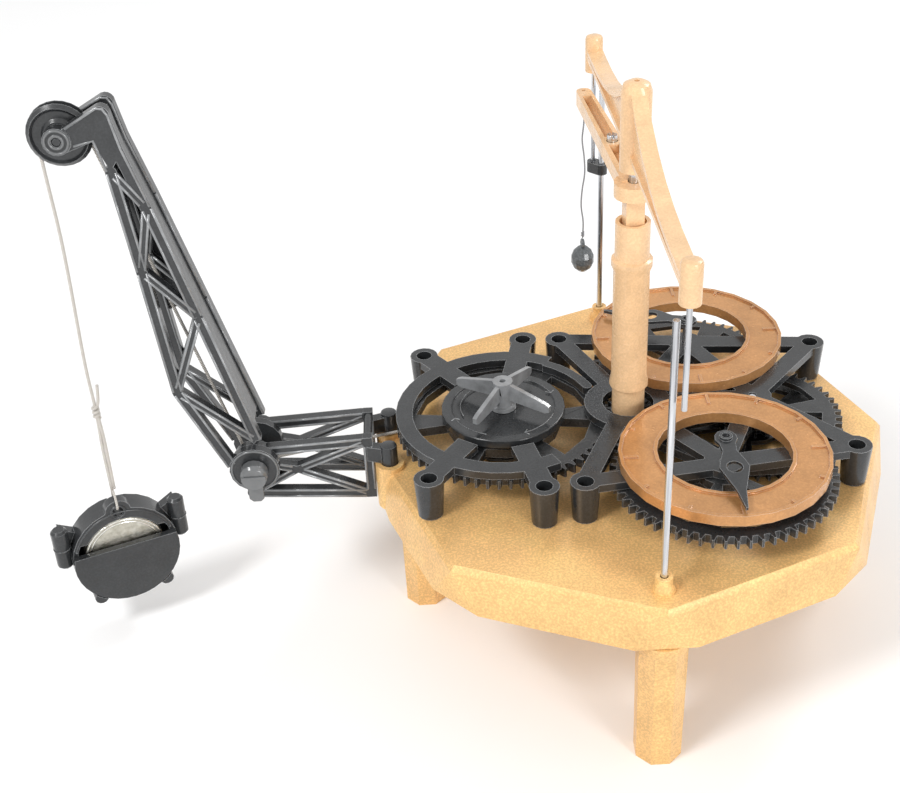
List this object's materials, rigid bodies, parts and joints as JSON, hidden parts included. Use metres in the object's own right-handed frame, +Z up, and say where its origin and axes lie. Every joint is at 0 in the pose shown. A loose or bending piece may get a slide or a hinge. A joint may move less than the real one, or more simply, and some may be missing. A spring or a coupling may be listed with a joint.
{
  "type": "flying pendulum clock",
  "caption": "Table clock with a ball on a thread that winds round two rods, two dials, open gears and a coin weight on a boom.",
  "frame": {"origin": "centre of the stand's outline at the floor, under the feet, without the strings and what hangs on them", "axes": "+Z up along the column, -X towards the boom and its weight, -Y towards the minute dial and its rods"},
  "size_m": [0.2452, 0.1538, 0.169],
  "materials": {
    "tan": "satin",
    "peach": "satin",
    "dial": "satin",
    "black": "satin",
    "steel": "polished",
    "ball": "satin",
    "thread": "matte",
    "string": "matte",
    "coin": "polished"
  },
  "bodies": {
    "stand": {"base_plate": "tan", "leg_front": "tan", "leg_back": "tan", "leg_left": "tan", "leg_right": "tan", "left_frame": "black", "right_frame": "black", "front_dial": "dial", "back_dial": "dial", "drum_arbor": "steel", "centre_shaft": "steel", "standing_rod_front": "steel", "standing_rod_back": "steel", "crossbar": "peach", "hanging_rod_front": "steel", "hanging_rod_back": "steel", "link_ring": "black", "arm_side_front": "black", "arm_side_back": "black", "arm_tie": "black", "pivot_bolt": "steel", "pivot_sleeve": "black", "string_in_arm": "string"},
    "drum": {"great_wheel": "black", "string_reel": "black", "string_winding": "string", "drum_disc": "black", "winding_key": "black"},
    "click": {"click_pawl": "black"},
    "column": {"column_pinions": "black", "column_tube": "peach", "rotor_arm": "peach"},
    "clamp": {"clamp_screw": "steel"},
    "pendulum": {"pendulum_thread": "thread", "pendulum_ball": "ball"},
    "third": {"third_wheel": "black", "third_arbor": "steel"},
    "idler": {"idler_wheel": "black"},
    "front_train": {"front_wheel": "black", "front_arbor": "steel", "front_hand": "black"},
    "back_train": {"back_wheel": "black", "back_arbor": "steel", "back_hand": "black"},
    "boom": {"boom_side_front": "black", "boom_side_back": "black", "boom_web": "black", "pulley_axle": "black", "string_in_boom": "string"},
    "lever": {"pivot_lever": "black"},
    "pulley": {"pulley": "black"},
    "line": {"string_over_pulley": "string", "string_drop": "string"},
    "weight": {"string_loop": "string", "coin_tray": "black", "coin_1": "coin", "coin_2": "coin", "coin_3": "coin"},
    "cover": {"coin_cover": "black"}
  },
  "joints": [
    {"name": "drum_spin", "type": "hinge", "parent": "stand", "child": "drum", "pos_m": [0.00361, 0, 0.0627], "axis": [0, 0, 1], "range_deg": [-240, 480]},
    {"name": "click_lift", "type": "hinge", "parent": "drum", "child": "click", "pos_m": [0.01421, 0, 0.0653], "axis": [0, 0, 1], "range_deg": [-12, 0]},
    {"name": "column_spin", "type": "hinge", "parent": "stand", "child": "column", "pos_m": [0.03961, 0, 0.0957], "axis": [0, 0, 1], "range_deg": [-2400, 1200]},
    {"name": "clamp_turn", "type": "hinge", "parent": "column", "child": "clamp", "pos_m": [0.03706, 0.02547, 0.1377], "axis": [0, 0, 1], "range_deg": [-180, 180]},
    {"name": "pendulum_swing", "type": "hinge", "parent": "column", "child": "pendulum", "pos_m": [0.03334, 0.06274, 0.1329], "axis": [-0.9951, -0.0993, 0], "range_deg": [-60, 60]},
    {"name": "third_spin", "type": "hinge", "parent": "stand", "child": "third", "pos_m": [0.07561, 0, 0.0607], "axis": [0, 0, 1], "range_deg": [-528, 1056]},
    {"name": "front_hand_turn", "type": "hinge", "parent": "stand", "child": "front_train", "pos_m": [0.06142, -0.0309, 0.0637], "axis": [0, 0, 1], "range_deg": [-141, 71]},
    {"name": "idler_spin", "type": "hinge", "parent": "stand", "child": "idler", "pos_m": [0.07561, 0, 0.0577], "axis": [0, 0, 1], "range_deg": [-24, 47]},
    {"name": "back_hand_turn", "type": "hinge", "parent": "stand", "child": "back_train", "pos_m": [0.06142, 0.0309, 0.0607], "axis": [0, 0, 1], "range_deg": [-12, 6]},
    {"name": "boom_tilt", "type": "hinge", "parent": "stand", "child": "boom", "pos_m": [-0.0682, -0.003, 0.0589], "axis": [0, -1, 0], "range_deg": [0, 14]},
    {"name": "lever_turn", "type": "hinge", "parent": "stand", "child": "lever", "pos_m": [-0.0682, -0.0133, 0.0589], "axis": [0, -1, 0], "range_deg": [-90, 90]},
    {"name": "pulley_spin", "type": "hinge", "parent": "boom", "child": "pulley", "pos_m": [-0.10559, -0.003, 0.1605], "axis": [0, -1, 0], "range_deg": [-450, 900]},
    {"name": "line_plumb", "type": "hinge", "parent": "boom", "child": "line", "pos_m": [-0.10559, -0.003, 0.1605], "axis": [0, -1, 0], "range_deg": [-14, 0]},
    {"name": "weight_travel", "type": "slide", "parent": "line", "child": "weight", "axis": [0, 0, 1], "range_m": [-0.0897, 0.0449], "deforming": ["string_drop"]},
    {"name": "cover_pull", "type": "slide", "parent": "weight", "child": "cover", "axis": [0.3746, -0.9272, 0], "range_m": [0, 0.008]}
  ],
  "couplings": [
    {"joint": "column_spin", "follows": "drum_spin", "ratio": -5},
    {"joint": "third_spin", "follows": "drum_spin", "ratio": 2.2},
    {"joint": "front_hand_turn", "follows": "drum_spin", "ratio": -0.29333},
    {"joint": "idler_spin", "follows": "drum_spin", "ratio": 0.097778},
    {"joint": "back_hand_turn", "follows": "drum_spin", "ratio": -0.024444},
    {"joint": "weight_travel", "follows": "drum_spin", "m_per_rad": -0.0107},
    {"joint": "pulley_spin", "follows": "drum_spin", "ratio": 1.7398},
    {"joint": "line_plumb", "follows": "boom_tilt", "ratio": -1}
  ]
}
